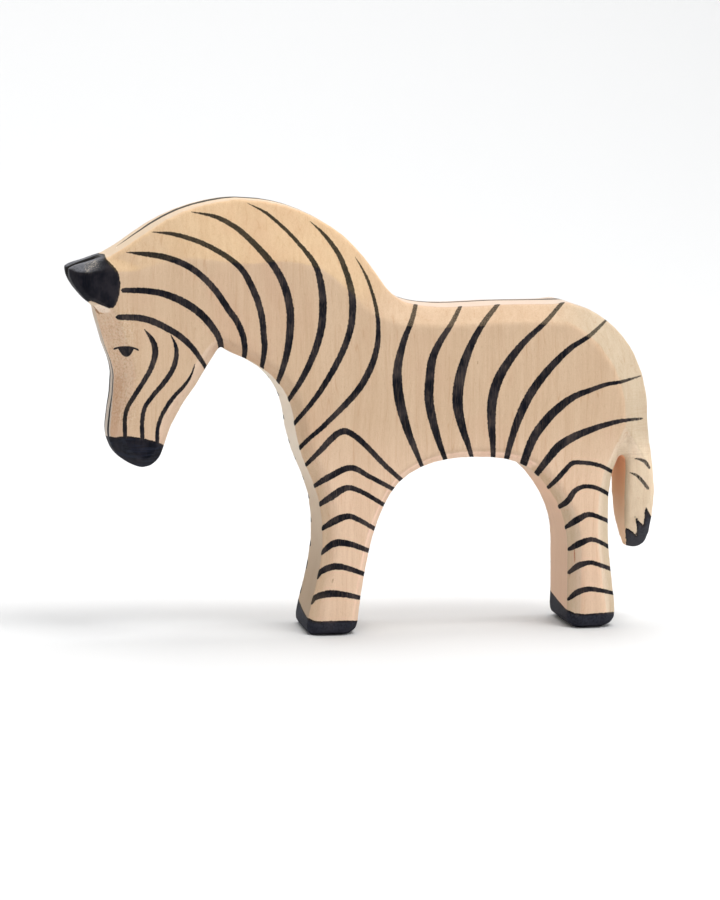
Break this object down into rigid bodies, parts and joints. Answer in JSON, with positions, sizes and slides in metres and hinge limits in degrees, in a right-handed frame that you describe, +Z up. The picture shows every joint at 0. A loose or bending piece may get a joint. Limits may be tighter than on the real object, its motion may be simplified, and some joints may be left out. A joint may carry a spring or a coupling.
{
  "type": "animal figurine",
  "caption": "Carved and painted wooden zebra toy with lowered head, pricked ears, board-thick legs and a hanging tail.",
  "frame": {"origin": "on the ground under the middle of the figure's length and thickness", "axes": "+X towards the tail, -X towards the head, +Y across the board's thickness to the figure's right side, +Z up"},
  "size_m": [0.1542, 0.026, 0.1133],
  "materials": {
    "zebra_wood": "planed and sanded pale wood with watery painted stripes"
  },
  "bodies": {
    "root": {"zebra": "zebra_wood"}
  },
  "joints": []
}
